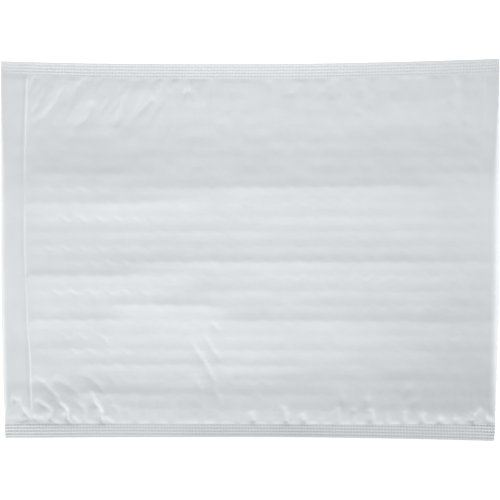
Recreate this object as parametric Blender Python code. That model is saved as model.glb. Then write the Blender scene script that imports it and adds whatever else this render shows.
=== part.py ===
"""Padded postal envelope, empty and unused, lying on its flap side.

One sheet of white paper is folded twice. It makes the address panel on top, the back panel
under it and the flap, which is tucked under the back panel. Both long sides are crimped
together. A folded web of bubble film lines the pocket, and the flap carries a line of
adhesive under a release liner.

X runs along the envelope, with the mouth at -X and the closed fold at +X. Y runs across it,
from seam to seam. Z is up, and the origin is under the middle, on the table.
Lengths are in metres.
"""

import math

import bmesh
import bpy

MM = 0.001

# The sheet of paper
LENGTH = 346 * MM           # over both end folds
WIDTH = 266 * MM            # over both seams, at the closed fold, where it is widest
WAIST_PULL = 3.8 * MM       # how far each side draws in at mid-length
MOUTH_PULL = 2.6 * MM       # and at the mouth
PULL_POWER = 1.8            # how the sides run from the waist to the ends
END_PULL = 3 * MM           # how far the ends draw in towards the -Y side
PAPER = 0.4 * MM            # wall of the paper
MOUTH_FOLD_DEPTH = 5 * MM   # how far the flap fold rounds over, along X
CLOSED_FOLD_DEPTH = 6.5 * MM
FOLD_STEPS = 6

# The side seams
UPPER_SEAM_WIDTH = 11 * MM   # the seam on the +Y side
LOWER_SEAM_WIDTH = 8.6 * MM  # and on the -Y side
SEAM_THICKNESS = 0.9 * MM   # two papers and the crushed film between them
UPPER_ROOT_LIFT = 6 * MM    # underside of the seam above the table, at its root
LOWER_ROOT_LIFT = 4.9 * MM
CORNER_SINK = 2.4 * MM      # the lower seam sinks by this much towards the closed fold
SINK_START = 40 * MM        # between these places along X
SINK_END = 160 * MM
UPPER_DROOP = 1.3 * MM      # how far the seam's outer edge hangs under its root
LOWER_DROOP = 1.7 * MM
MOUTH_DROP = 0.9 * MM       # height that is lost at the flap fold
CLOSED_DROP = 0.6 * MM      # and at the closed fold
DROP_REACH = 14 * MM        # how far inwards those are felt
CRIMP_MARGIN = 1.2 * MM     # plain strip outside the crimp
CRIMP_PITCH = 2.2 * MM
CRIMP_HEIGHT = 0.25 * MM

# The padded top, above the line between the seams' roots. What grows does so along X: it is
# less by its growth at the mouth, and more by it at the closed fold
SHOULDER_RISE = 1 * MM      # close to the upper seam
SHOULDER_RUN = 26 * MM
CREST = 2.4 * MM            # further rise towards the lower seam
CREST_GROWTH = 0.5 * MM
CREST_START = 86 * MM       # from the upper seam's root
CREST_START_GROWTH = -24 * MM
CREST_END = 186 * MM
FALL_RUN = 36 * MM          # length of the fall to the lower seam
FALL_RUN_GROWTH = 6 * MM
GROWTH_REACH = 75 * MM
BULGE = 1.3 * MM            # the pocket's bulge grows round BULGE_MIDDLE
BULGE_GROWTH = 3.1 * MM
BULGE_MIDDLE = 92 * MM
BULGE_REACH = 58 * MM
SHOULDER_INSET = 5 * MM     # first line of the panel inside the seam
FLAT_SHARE = 0.8            # share of the half width that lies flat on the table
GATHER = 0.35 * MM          # height of the puckers along the seams
GATHER_REACH = 9 * MM

# Long shallow hollows in the padded top, as (x, y, reach along x, reach along y, depth)
HOLLOWS = (
    (70 * MM, 48 * MM, 190 * MM, 22 * MM, 1.5 * MM),
    (-110 * MM, 43 * MM, 75 * MM, 18 * MM, 1.2 * MM),
)

# The bubble film
BUBBLE_PITCH = 12 * MM      # along a row
ROW_PITCH = 10.27 * MM      # from row to row
ROW_OFFSET = 2.2 * MM       # the gap between rows that is numbered 0 lies here
LINING_START = 17.5 * MM    # from the flap fold to the cut edge of the film
LINING_STEP = 0.5 * MM      # how much lower the unlined paper lies
STEP_WIDTH = 3 * MM
POCKET_GAP = 0.8 * MM       # space between the two layers of film
POCKET_MARGIN = 7 * MM      # film joined to film along the sides and the closed end

# The flap
FLAP_LENGTH = 48 * MM
FLAP_TAPER = 7 * MM         # how much each side draws in at the free edge
MOUTH_INSET = 6.5 * MM      # from the flap fold to the edge of the back panel
ADHESIVE_WIDTH = 12 * MM
ADHESIVE_THICKNESS = 0.2 * MM
ADHESIVE_END_GAP = 9 * MM   # bare paper at each end of the adhesive
ADHESIVE_INSET = 8 * MM     # from the free edge of the flap
LINER_OVERLAP = 3 * MM      # how far the release liner covers past the adhesive
LINER_THICKNESS = 0.15 * MM
LIFT_RUN = 17 * MM          # the back panel comes down to the table over this length

CLEARANCE = 0.3 * MM        # between pieces that touch
SAME_PLACE = 1e-7           # corners nearer than this are one corner
FLAT_ANGLE = 1e-4           # faces that meet at less than this are one face, in radians

# Creases pressed into the padding between two rows of bubbles, as
# (number of the gap between rows, where it starts, where it ends, depth)
CREASES = (
    (5, -158 * MM, -60 * MM, 0.5 * MM),
    (4, -62 * MM, 136 * MM, 0.9 * MM),
    (5, 118 * MM, 165 * MM, 0.35 * MM),
    (3, -160 * MM, -24 * MM, 0.8 * MM),
    (2, -9 * MM, 165 * MM, 0.3 * MM),
    (1, -156 * MM, 165 * MM, 0.3 * MM),
    (-1, -74 * MM, 165 * MM, 1 * MM),
    (-2, -159 * MM, -64 * MM, 1 * MM),
    (-3, -39 * MM, 165 * MM, 0.3 * MM),
    (-4, -98 * MM, -11 * MM, 0.8 * MM),
    (-5, -159 * MM, -81 * MM, 0.7 * MM),
    (-5, 0, 165 * MM, 0.9 * MM),
    (-7, 60 * MM, 150 * MM, 0.4 * MM),
    (-8, -124 * MM, -32 * MM, 0.5 * MM),
    (-8, 0, 42 * MM, 0.35 * MM),
    (-9, 41 * MM, 124 * MM, 0.3 * MM),
    (-10, -124 * MM, 54 * MM, 0.25 * MM),
)
CREASE_FADE = 10 * MM       # over which a crease dies out at its ends

# Worked out from the sizes above
MOUTH_TANGENT = -LENGTH / 2 + MOUTH_FOLD_DEPTH
CLOSED_TANGENT = LENGTH / 2 - CLOSED_FOLD_DEPTH
MOUTH_EDGE = -LENGTH / 2 + MOUTH_INSET
LINING_EDGE = -LENGTH / 2 + LINING_START
LINING_END = CLOSED_TANGENT - PAPER - CLEARANCE
FLAP_EDGE = -LENGTH / 2 + FLAP_LENGTH
POCKET_SHIFT = (LOWER_SEAM_WIDTH - UPPER_SEAM_WIDTH) / 2
FLAP_STACK = PAPER + ADHESIVE_THICKNESS + LINER_THICKNESS + 3 * CLEARANCE


def smooth(t):
    """Goes from 0 to 1 while t does, with level ends."""
    t = min(max(t, 0.0), 1.0)
    return t * t * (3 - 2 * t)


def half_width(x):
    """Half the width over both seams. The waist is narrowest, and both ends spread."""
    share = (abs(x) / (LENGTH / 2)) ** PULL_POWER
    end_pull = MOUTH_PULL if x < 0 else 0.0
    return WIDTH / 2 - WAIST_PULL - (end_pull - WAIST_PULL) * share


def lift(x):
    """How far the panels are raised by the flap and its adhesive, which lie under them."""
    return FLAP_STACK * (1 - smooth((x - FLAP_EDGE - CLEARANCE) / LIFT_RUN))


def pocket_half(x):
    """Half the width between the seams' roots. The pocket's middle is at POCKET_SHIFT."""
    return half_width(x) - (UPPER_SEAM_WIDTH + LOWER_SEAM_WIDTH) / 2


def across(x, y):
    """Share of the way from the middle of the pocket to a seam's root, from -1 to 1."""
    return min(max((y - POCKET_SHIFT) / pocket_half(x), -1.0), 1.0)


def root_lift(x, y):
    """Underside of the seams at their roots, going over from the lower one to the upper one."""
    lower = LOWER_ROOT_LIFT - CORNER_SINK * smooth((x - SINK_START) / (SINK_END - SINK_START))
    mouth = MOUTH_DROP * math.exp((MOUTH_TANGENT - x) / DROP_REACH)
    closed = CLOSED_DROP * math.exp((x - CLOSED_TANGENT) / DROP_REACH)
    return lower + (UPPER_ROOT_LIFT - lower) * smooth((across(x, y) + 1) / 2) - mouth - closed


def crease_depth(row, x):
    """Depth of the creases that run along one gap between rows, at x."""
    depth = 0.0
    for crease_row, start, end, full in CREASES:
        if crease_row == row:
            depth += full * smooth((x - start) / CREASE_FADE) * smooth((end - x) / CREASE_FADE)
    return depth


def growing(size, growth, x, middle=0.0, reach=GROWTH_REACH):
    """A size that changes along X by a hyperbolic tangent, fastest at the middle."""
    return size + growth * math.tanh((x - middle) / reach)


def crown(x, y):
    """Height of the padded top above the seams' roots."""
    share = across(x, y)
    from_upper = pocket_half(x) * (1 - share)
    from_lower = pocket_half(x) * (1 + share)
    shoulder = SHOULDER_RISE * smooth(from_upper / SHOULDER_RUN)
    start = growing(CREST_START, CREST_START_GROWTH, x)
    crest = growing(CREST, CREST_GROWTH, x) * smooth((from_upper - start) / (CREST_END - start))
    fall = smooth(from_lower / growing(FALL_RUN, FALL_RUN_GROWTH, x))
    bulge = growing(BULGE, BULGE_GROWTH, x, BULGE_MIDDLE, BULGE_REACH) * (1 - share**2)
    hollow = 0.0
    for x0, y0, reach_x, reach_y, depth in HOLLOWS:
        hollow += depth * math.exp(-(((x - x0) / reach_x) ** 2) - ((y - y0) / reach_y) ** 2)
    unlined = LINING_STEP * (1 - smooth((x - LINING_EDGE + STEP_WIDTH) / STEP_WIDTH))
    return (shoulder + crest) * fall + bulge - (hollow + unlined) * (1 - share**4)


class SeamLine:
    """A line along one seam, at a set distance from the edge of the paper."""

    in_seam = True
    row = None

    def __init__(self, side, from_edge, ridge=0.0):
        self.side = side  # -1 or 1
        self.from_edge = from_edge
        self.ridge = ridge
        self.width = UPPER_SEAM_WIDTH if side > 0 else LOWER_SEAM_WIDTH
        self.droop = UPPER_DROOP if side > 0 else LOWER_DROOP

    def y(self, x):
        return self.side * (half_width(x) - self.from_edge)


class PocketLine:
    """A line along the padded part. It fans out where the envelope widens, as the film does."""

    in_seam = False
    ridge = 0.0

    def __init__(self, share, row=None):
        self.share = share  # from -1 to 1 between the two shoulders
        self.row = row      # number of the gap between bubble rows

    def y(self, x):
        return POCKET_SHIFT + self.share * (pocket_half(x) - SHOULDER_INSET)


def seam_lines(side):
    """The lines of one seam from its outer edge to its root, with a ridge for each crimp row."""
    width = SeamLine(side, 0.0).width
    lines = [SeamLine(side, 0.0)]
    half = CRIMP_PITCH / 2
    count = math.floor((width - CRIMP_MARGIN) / half)
    for k in range(count):
        ridge = CRIMP_HEIGHT if k % 2 else 0.0
        lines.append(SeamLine(side, CRIMP_MARGIN + k * half, ridge))
    lines.append(SeamLine(side, width))
    return lines


def pocket_lines():
    """The lines of the padded part from -Y to +Y: both shoulders and each gap between rows."""
    reach = pocket_half(0.0) - SHOULDER_INSET
    inner = reach - SHOULDER_INSET / 3
    first = math.ceil((POCKET_SHIFT - inner - ROW_OFFSET) / ROW_PITCH)
    last = math.floor((POCKET_SHIFT + inner - ROW_OFFSET) / ROW_PITCH)
    lines = [PocketLine(-1.0)]
    for row in range(first, last + 1):
        lines.append(PocketLine((ROW_OFFSET + row * ROW_PITCH - POCKET_SHIFT) / reach, row))
    lines.append(PocketLine(1.0))
    return lines


LOW_SEAM = seam_lines(-1)
HIGH_SEAM = seam_lines(1)[::-1]
LINING_LINES = pocket_lines()
POCKET_LINES = [LOW_SEAM[-1]] + LINING_LINES + [HIGH_SEAM[0]]
ALL_LINES = LOW_SEAM + LINING_LINES + HIGH_SEAM


def stations():
    """Places along X: the mouth, the step at the film's edge, then one for each bubble."""
    count = max(2, round((LINING_END - LINING_EDGE) / BUBBLE_PITCH))
    step = (LINING_END - LINING_EDGE) / count
    bubbles = [LINING_EDGE + k * step for k in range(count + 1)]
    return [MOUTH_EDGE, LINING_EDGE - STEP_WIDTH] + bubbles


STATIONS = stations()
BODY_STATIONS = STATIONS + [CLOSED_TANGENT]
LINING_STATIONS = STATIONS[2:]


def gather(x, y):
    """Puckers beside the seams: every second station is high and the next one low."""
    if x not in LINING_STATIONS:
        return 0.0
    inside = pocket_half(x) - abs(y - POCKET_SHIFT)
    sign = 1 if LINING_STATIONS.index(x) % 2 else -1
    return sign * GATHER * math.exp(-inside / GATHER_REACH)


def underside(line, x):
    """Height of the outer face of the back panel and of the seams' underside."""
    y = line.y(x)
    base = root_lift(x, y)
    if line.in_seam:
        base -= line.droop * (1 - line.from_edge / line.width)
    else:
        base *= max(0.0, (abs(across(x, y)) - FLAT_SHARE) / (1 - FLAT_SHARE)) ** 2
    return base + lift(x)


def top(line, x):
    """Height of the outer face of the address panel and of the seams' upper side."""
    if line.in_seam:
        return underside(line, x) + SEAM_THICKNESS + line.ridge
    y = line.y(x)
    height = root_lift(x, y) + SEAM_THICKNESS + lift(x) + crown(x, y)
    return height + gather(x, y) - crease_depth(line.row, x)


def panel_inside(line, x):
    """Height of the inner face of the address panel."""
    return top(line, x) - line.ridge - PAPER


def back_inside(line, x):
    """Height of the inner face of the back panel. At the seam root both inner faces meet."""
    if line.in_seam:
        return panel_inside(line, x)
    return underside(line, x) + PAPER


def place(x, y, z):
    """A point of the envelope. Its ends draw in towards the -Y side."""
    share = max(0.0, -y / half_width(x))
    return (x * (1 - END_PULL / (LENGTH / 2) * share**1.5), y, z)


def sheet(lines, places, height):
    """A grid of points with one row for each line and one column for each place."""
    return [[place(x, line.y(x), height(line, x)) for x in places] for line in lines]


def closed_fold(lines):
    """The rounded end between the two panels, as half an ellipse beside each line."""
    x0 = CLOSED_TANGENT
    rows = []
    for line in lines:
        high, low = top(line, x0), underside(line, x0)
        row = []
        for k in range(FOLD_STEPS + 1):
            turn = math.pi * k / FOLD_STEPS
            x = x0 + CLOSED_FOLD_DEPTH * math.sin(turn)
            z = (high + low) / 2 + (high - low) / 2 * math.cos(turn)
            row.append(place(x, line.y(x0), z))
        rows.append(row)
    return rows


def flap_fold(lines, inset):
    """The rounded fold from the address panel down to the flap. inset is 0 outside."""
    x0 = MOUTH_TANGENT
    rows = []
    for line in lines:
        high = top(line, x0) - line.ridge * (inset > 0) - inset
        row = []
        for k in range(FOLD_STEPS + 1):
            turn = math.pi * k / FOLD_STEPS
            x = x0 - (MOUTH_FOLD_DEPTH - inset) * math.sin(turn)
            z = (high + inset) / 2 + (high - inset) / 2 * math.cos(turn)
            row.append(place(x, line.y(x0), z))
        rows.append(row)
    return rows


def flap_y(y, x):
    """The flap narrows towards its free edge."""
    share = (x - MOUTH_TANGENT) / (FLAP_EDGE - MOUTH_TANGENT)
    return y * (1 - FLAP_TAPER / half_width(MOUTH_TANGENT) * share)


def flap_face(lines, z):
    """One face of the flap, which lies flat on the table."""
    rows = []
    for line in lines:
        y = line.y(MOUTH_TANGENT)
        rows.append([place(x, flap_y(y, x), z) for x in (MOUTH_TANGENT, FLAP_EDGE)])
    return rows


class Skin:
    """Collects faces by their corners' places, so that neighbours share their corners."""

    def __init__(self):
        self.index = {}
        self.points = []
        self.faces = []

    def corner(self, point):
        key = tuple(round(c / SAME_PLACE) for c in point)
        if key not in self.index:
            self.index[key] = len(self.points)
            self.points.append(point)
        return self.index[key]

    def face(self, *points):
        corners = []
        for point in points:
            corner = self.corner(point)
            if corner not in corners:
                corners.append(corner)
        if len(corners) > 2:
            self.faces.append(corners)

    def grid(self, rows):
        for a, b in zip(rows, rows[1:]):
            for k in range(len(a) - 1):
                self.face(a[k], a[k + 1], b[k + 1], b[k])

    def finish(self, name, material):
        """Makes the object, with its faces outwards and its flat areas as single faces."""
        mesh = bpy.data.meshes.new(name)
        mesh.from_pydata(self.points, [], self.faces)
        bm = bmesh.new()
        bm.from_mesh(mesh)
        bmesh.ops.recalc_face_normals(bm, faces=bm.faces)
        bmesh.ops.dissolve_limit(bm, angle_limit=FLAT_ANGLE, verts=bm.verts, edges=bm.edges)
        bmesh.ops.triangulate(bm, faces=bm.faces)
        bm.to_mesh(mesh)
        bm.free()
        obj = bpy.data.objects.new(name, mesh)
        bpy.context.scene.collection.objects.link(obj)
        if material:
            obj.data.materials.append(material)
        return obj


def clear_scene():
    for obj in list(bpy.data.objects):
        bpy.data.objects.remove(obj, do_unlink=True)


def material(name, colour, roughness):
    made = bpy.data.materials.new(name)
    made.use_nodes = True
    shader = made.node_tree.nodes["Principled BSDF"]
    shader.inputs["Base Color"].default_value = (*colour, 1)
    shader.inputs["Roughness"].default_value = roughness
    shader.inputs["Metallic"].default_value = 0
    made.diffuse_color = (*colour, 1)
    return made


def paper_cover():
    """The one sheet of paper: two panels, two end folds, the flap and both crimped seams."""
    skin = Skin()
    strip = [MOUTH_TANGENT, MOUTH_EDGE]
    outer_top = sheet(ALL_LINES, [MOUTH_TANGENT] + BODY_STATIONS, top)
    outer_bottom = sheet(ALL_LINES, BODY_STATIONS, underside)
    strip_inside = sheet(ALL_LINES, strip, panel_inside)
    panel = sheet(POCKET_LINES, STATIONS, panel_inside)
    back = sheet(POCKET_LINES, STATIONS, back_inside)
    end = [[a[-1], b[-1]] for a, b in zip(panel, back)]
    closed = closed_fold(ALL_LINES)
    mouth_edge = sheet(ALL_LINES, [MOUTH_EDGE], back_inside)
    fold_outside = flap_fold(ALL_LINES, 0.0)
    fold_inside = flap_fold(ALL_LINES, PAPER)
    flap_outside = flap_face(ALL_LINES, 0.0)
    flap_inside = flap_face(ALL_LINES, PAPER)
    for rows in (outer_top, outer_bottom, strip_inside, panel, back, end, closed):
        skin.grid(rows)
    for rows in (fold_outside, fold_inside, flap_outside, flap_inside):
        skin.grid(rows)
    skin.grid([[low[0], high[0]] for low, high in zip(outer_bottom, mouth_edge)])
    skin.grid([[a[-1], b[-1]] for a, b in zip(flap_outside, flap_inside)])
    for side in (0, -1):
        skin.grid([fold_outside[side], fold_inside[side]])
        skin.grid([flap_outside[side], flap_inside[side]])
        skin.grid([outer_top[side][:2], strip_inside[side]])
        high, low = outer_top[side][1:], outer_bottom[side]
        skin.face(high[0], mouth_edge[side][0], low[0], low[1], high[1])
        skin.grid([high[1:], low[1:]])
        skin.face(*closed[side])
    return skin.finish("paper_cover", material("white_paper", (0.80, 0.82, 0.83), 0.75))


def bubble_lining():
    """The folded web of bubble film, open at the mouth, with a thin space between its layers."""

    def film_top(line, x):
        return panel_inside(line, x) - CLEARANCE

    def film_bottom(line, x):
        return back_inside(line, x) + CLEARANCE

    places = LINING_STATIONS[:-1] + [LINING_END - CLEARANCE]
    upper = sheet(LINING_LINES, places, film_top)
    lower = sheet(LINING_LINES, places, film_bottom)
    skin = Skin()
    for rows in (upper, lower):
        skin.grid(rows)
    for side in (0, -1):
        skin.grid([upper[side], lower[side]])
        skin.grid([[a[side], b[side]] for a, b in zip(upper, lower)])
    film = skin.finish("bubble_lining", material("clear_film", (0.70, 0.74, 0.76), 0.3))

    cutter = pocket_space(film_top, film_bottom)
    cutter.hide_render = True
    cutter.display_type = "WIRE"
    cut = film.modifiers.new("pocket", "BOOLEAN")
    cut.operation = "DIFFERENCE"
    cut.object = cutter
    return film


def pocket_space(film_top, film_bottom):
    """The space between the two layers of film, halfway between their outer faces."""

    def above(line, x):
        inside = max(x, LINING_EDGE)
        return (film_top(line, inside) + film_bottom(line, inside) + POCKET_GAP) / 2

    def below(line, x):
        return above(line, x) - POCKET_GAP

    reach = pocket_half(0.0) - SHOULDER_INSET - POCKET_MARGIN
    lines = [line for line in LINING_LINES if abs(line.y(0.0) - POCKET_SHIFT) < reach]
    end = LINING_END - POCKET_MARGIN
    places = [LINING_EDGE - POCKET_MARGIN]
    places += [x for x in LINING_STATIONS if x < end - POCKET_MARGIN / 3] + [end]
    upper, lower = sheet(lines, places, above), sheet(lines, places, below)
    skin = Skin()
    for rows in (upper, lower):
        skin.grid(rows)
    for side in (0, -1):
        skin.grid([upper[side], lower[side]])
        skin.grid([[a[side], b[side]] for a, b in zip(upper, lower)])
    return skin.finish("pocket_cutter", None)


def block(name, low, high, finish):
    """A rectangular piece between two corners, with its place in its object's location."""
    mesh = bpy.data.meshes.new(name)
    bm = bmesh.new()
    bmesh.ops.create_cube(bm, size=1)
    bmesh.ops.scale(bm, vec=[b - a for a, b in zip(low, high)], verts=bm.verts)
    bm.to_mesh(mesh)
    bm.free()
    obj = bpy.data.objects.new(name, mesh)
    obj.location = [(a + b) / 2 for a, b in zip(low, high)]
    bpy.context.scene.collection.objects.link(obj)
    obj.data.materials.append(finish)
    return obj


def flap_strips():
    """The line of adhesive on the flap's inner face, and the release liner over it."""
    x1 = FLAP_EDGE - ADHESIVE_INSET
    x0 = x1 - ADHESIVE_WIDTH
    y1 = half_width(MOUTH_TANGENT) - FLAP_TAPER - ADHESIVE_END_GAP
    z0 = PAPER + CLEARANCE
    z1 = z0 + ADHESIVE_THICKNESS
    glue = material("clear_adhesive", (0.83, 0.81, 0.74), 0.35)
    block("adhesive_strip", (x0, -y1, z0), (x1, y1, z1), glue)
    over = LINER_OVERLAP
    z2 = z1 + CLEARANCE
    low = (x0 - over, -y1 - over, z2)
    high = (x1 + over, y1 + over, z2 + LINER_THICKNESS)
    block("release_liner", low, high, material("release_paper", (0.86, 0.87, 0.86), 0.4))


def main():
    clear_scene()
    paper_cover()
    bubble_lining()
    flap_strips()


main()
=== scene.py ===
import math

import bpy
import numpy as np
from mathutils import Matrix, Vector


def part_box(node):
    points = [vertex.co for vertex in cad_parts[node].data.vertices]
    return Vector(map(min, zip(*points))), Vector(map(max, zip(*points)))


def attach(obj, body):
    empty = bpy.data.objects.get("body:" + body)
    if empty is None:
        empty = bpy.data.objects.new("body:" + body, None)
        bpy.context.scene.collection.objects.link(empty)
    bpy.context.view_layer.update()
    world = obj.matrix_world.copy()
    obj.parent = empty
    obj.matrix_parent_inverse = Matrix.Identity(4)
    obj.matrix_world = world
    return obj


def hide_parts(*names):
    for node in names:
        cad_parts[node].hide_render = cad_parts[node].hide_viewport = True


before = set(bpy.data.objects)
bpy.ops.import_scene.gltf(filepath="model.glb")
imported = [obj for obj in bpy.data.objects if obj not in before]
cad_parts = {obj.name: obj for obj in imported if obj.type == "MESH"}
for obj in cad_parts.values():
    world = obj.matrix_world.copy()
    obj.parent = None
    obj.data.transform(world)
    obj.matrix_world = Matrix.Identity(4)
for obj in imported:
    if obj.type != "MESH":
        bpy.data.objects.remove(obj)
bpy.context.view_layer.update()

# Shapes are worked out in millimetres: X from the mouth to the closed fold, Y from seam to seam
mm = 0.001
picture = {"pixels": 500, "seen": 346.2}  # size of the photograph, and the millimetres across it
coverLow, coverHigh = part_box("paper_cover")

outline = {
    "halfLength": (coverHigh.x - coverLow.x) / 2 / mm,
    "halfWidth": (coverHigh.y - coverLow.y) / 2 / mm,  # at the closed fold, where it is widest
    "waistPull": 3.4,       # how far each side draws in at mid-length
    "mouthPull": 2.3,       # and at the mouth
    "pullPowers": (3.5, 1.8),  # how the sides run from the waist to the mouth and to the closed fold
    "drift": 0.3,           # the waist lies this far towards -Y
    "mouthShift": 0.4,      # and the mouth this far towards +Y
    "endPull": 3.0,         # how far the ends draw in towards the -Y side
    "endPullPower": 1.5,
    "upperSeam": (8.0, 10.8, 9.4),  # width of the seams at the mouth, at mid-length and at the closed fold
    "lowerSeam": (10.6, 9.3, 12.9),
    "mouthFold": 4.2,       # how far each fold rounds over, along X
    "closedFold": 6.0,
    "seamFold": 0.8,        # and the seams round over by this much
    "foldBlend": (0.8, 0.15),  # the folds tighten towards the seams over these shares of the half width
    "foldSteps": 14,
    "mouthEdge": 6.5,       # from the flap fold to the edge of the back panel
    "flapLength": 48.0,
    "paper": 0.3,
}
mouthTangent = -outline["halfLength"] + outline["mouthFold"]
closedTangent = outline["halfLength"] - outline["closedFold"]
mouthEdge = -outline["halfLength"] + outline["mouthEdge"]
flapEdge = -outline["halfLength"] + outline["flapLength"]


# X and Y of a pixel of the photograph: its distance from the middle one, times the size of a pixel
def fromPicture(column, row):
    pixel, middle = picture["seen"] / picture["pixels"], (picture["pixels"] - 1) / 2
    return (column - middle) * pixel, (middle - row) * pixel


# 0 below t = 0, 1 above t = 1, and an S-curve with level ends between
def smooth(t):
    t = np.clip(t, 0.0, 1.0)
    return t * t * (3 - 2 * t)


# Soft noise from -1 to 1: random heights on a square lattice of spacing 1, blended with S-curves
def mottle(x, y, seed):
    table = np.random.default_rng(seed).uniform(-1, 1, (101, 101))
    i, j = np.floor(x).astype(int), np.floor(y).astype(int)
    s, t = smooth(x - i), smooth(y - j)
    low = table[i % 101, j % 101] * (1 - s) + table[(i + 1) % 101, j % 101] * s
    high = table[i % 101, (j + 1) % 101] * (1 - s) + table[(i + 1) % 101, (j + 1) % 101] * s
    return low * (1 - t) + high * t


# How far x is from the waist to an end, from 0 to 1, by a power of x
def towardsEnd(x):
    toMouth, toClosed = outline["pullPowers"]
    return np.abs(x / outline["halfLength"]) ** np.where(x < 0, toMouth, toClosed)


# Half the width over both seams: narrowest at the waist, wider towards each end
def halfWidthAt(x):
    share = towardsEnd(x)
    endPull = np.where(x < 0, outline["mouthPull"], 0.0)
    return outline["halfWidth"] - outline["waistPull"] * (1 - share) - endPull * share


# Y of the line midway between the seams
def middleAt(x):
    share = towardsEnd(x)
    return -outline["drift"] * (1 - share) + np.where(x < 0, outline["mouthShift"], 0.0) * share


# X after the ends are drawn in towards -Y, by a power of the distance across
def drawnIn(x, y):
    share = np.clip(-y / halfWidthAt(x), 0, None)
    return x * (1 - outline["endPull"] / outline["halfLength"] * share ** outline["endPullPower"])


# Width of a seam: it changes by the third power of x towards each end
def seamWidth(x, side):
    mouth, waist, closed = outline["upperSeam" if side > 0 else "lowerSeam"]
    return waist + (np.where(x < 0, mouth, closed) - waist) * np.abs(x / outline["halfLength"]) ** 3


# Half the width between the seams' roots
def reachAt(x):
    return halfWidthAt(x) - (seamWidth(x, 1) + seamWidth(x, -1)) / 2


# Y of a point that is share (-1 to 1) of the way from the pocket's middle to a seam's root
def acrossPocket(x, share):
    return middleAt(x) + (seamWidth(x, -1) - seamWidth(x, 1)) / 2 + share * reachAt(x)


# The other way round: that share of a point
def shareAt(x, y):
    return (y - acrossPocket(x, 0)) / reachAt(x)


# The heights of the envelope's broad form
body = {
    "flapStack": 1.65,      # the panels are raised by the flap and its adhesive under them
    "liftRun": 17.0,
    "upperRoot": 6.0,       # underside of the upper seam at its root
    "lowerRoot": 4.9,
    "cornerSink": 2.4,      # the lower seam sinks by this much towards the closed fold
    "upperDroop": 1.3,      # how far the seam's outer edge hangs under its root
    "lowerDroop": 1.5,
    "lowerDroopGrowth": 0.35,  # how much more towards the closed fold
    "lowerDroopLift": 0.5,  # and less at the mouth
    "upperDroopPower": 2.0,
    "lowerDroopPower": 1.1,
    "seamThickness": 0.8,
    "shoulder": 1.4,        # rise of the address panel close to the upper seam
    "shoulderRun": 40.0,
    "crest": (2.4, 0.5),    # further rise towards the lower seam, in mid-length and how much more
    "crestStart": (86.0, -24.0),  # at the closed fold, between these distances from the upper seam
    "crestEnd": 186.0,
    "lowerRun": (36.0, 6.0),  # length of the fall to the lower seam
    "growth": 75.0,
    "full": (1.3, 3.1),     # bulge of the pocket, at x = fullMiddle and how much more at the end
    "fullMiddle": 92.0,
    "fullGrowth": 58.0,
    "hollow": (0.30, 0.24),  # depth of the hollow beside the lower seam, as for the bulge
    "hollowMiddle": 70.0,
    "hollowGrowth": 70.0,
    "hollowAt": 6.5,
    "swellFade": 6.0,       # the swells die out over this distance to each seam
    "mouthDrop": 0.9,       # height that is lost at the flap fold
    "closedDrop": 0.6,      # and at the closed fold
    "dropReach": 14.0,
    "flatShare": 0.8,       # share of the half width that lies flat on the table
    # broad swells and hollows as (x, y, reach along x, reach along y, height)
    "swells": (
        (70.0, 48.0, 190.0, 22.0, -1.5), (-110.0, 43.0, 75.0, 18.0, -1.2), (-72.0, -20.0, 55.0, 26.0, -1.3),
        (166.0, -5.0, 30.0, 52.0, 1.8), (-140.0, -58.0, 22.0, 16.0, 0.9), (-118.0, -99.0, 42.0, 9.0, -0.7),
        (45.0, 70.0, 60.0, 30.0, 0.4), (128.0, 68.0, 30.0, 28.0, 0.4), (-80.0, 32.0, 55.0, 22.0, -0.8),
        (-28.0, -42.0, 30.0, 32.0, -0.8), (66.0, -40.0, 20.0, 30.0, -0.6), (140.0, -30.0, 30.0, 38.0, 0.9),
        (140.0, -85.0, 45.0, 16.0, -0.85), (0.0, -52.0, 190.0, 12.0, -0.45), (-90.0, -96.0, 85.0, 14.0, -0.6),
        (60.0, -87.0, 60.0, 13.0, -0.55), (-166.0, -84.0, 14.0, 30.0, -1.1),
    ),
}


# A size that changes by a hyperbolic tangent of x: its value at x = middle, and how much it grows
def growing(size, x, middle=0.0, reach=body["growth"]):
    return size[0] + size[1] * np.tanh((x - middle) / reach)


# How far the flap raises what lies on it
def liftAt(x):
    return body["flapStack"] * (1 - smooth((x - flapEdge) / body["liftRun"]))


# Height that is lost towards both end folds
def endDrop(x):
    mouth = body["mouthDrop"] * np.exp(np.minimum(mouthTangent - x, 0) / body["dropReach"])
    return mouth + body["closedDrop"] * np.exp(np.minimum(x - closedTangent, 0) / body["dropReach"])


# Height of the underside at the seam roots, going over from the lower to the upper one
def rootUnder(x, y):
    share = shareAt(x, y)
    lower = body["lowerRoot"] - body["cornerSink"] * smooth((x - 40) / 120)
    return lower + (body["upperRoot"] - lower) * smooth((share + 1) / 2) - endDrop(x)


# Height of the underside: level in the middle, rising by the square of the distance to the roots
def undersideAt(x, y):
    rise = np.clip((np.abs(shareAt(x, y)) - body["flatShare"]) / (1 - body["flatShare"]), 0, 1) ** 2
    return liftAt(x) + rootUnder(x, y) * rise


# Height of the upper side at the seam roots, and of the straight slope between them
def rootAt(x, y):
    return liftAt(x) + rootUnder(x, y) + body["seamThickness"]


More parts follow.
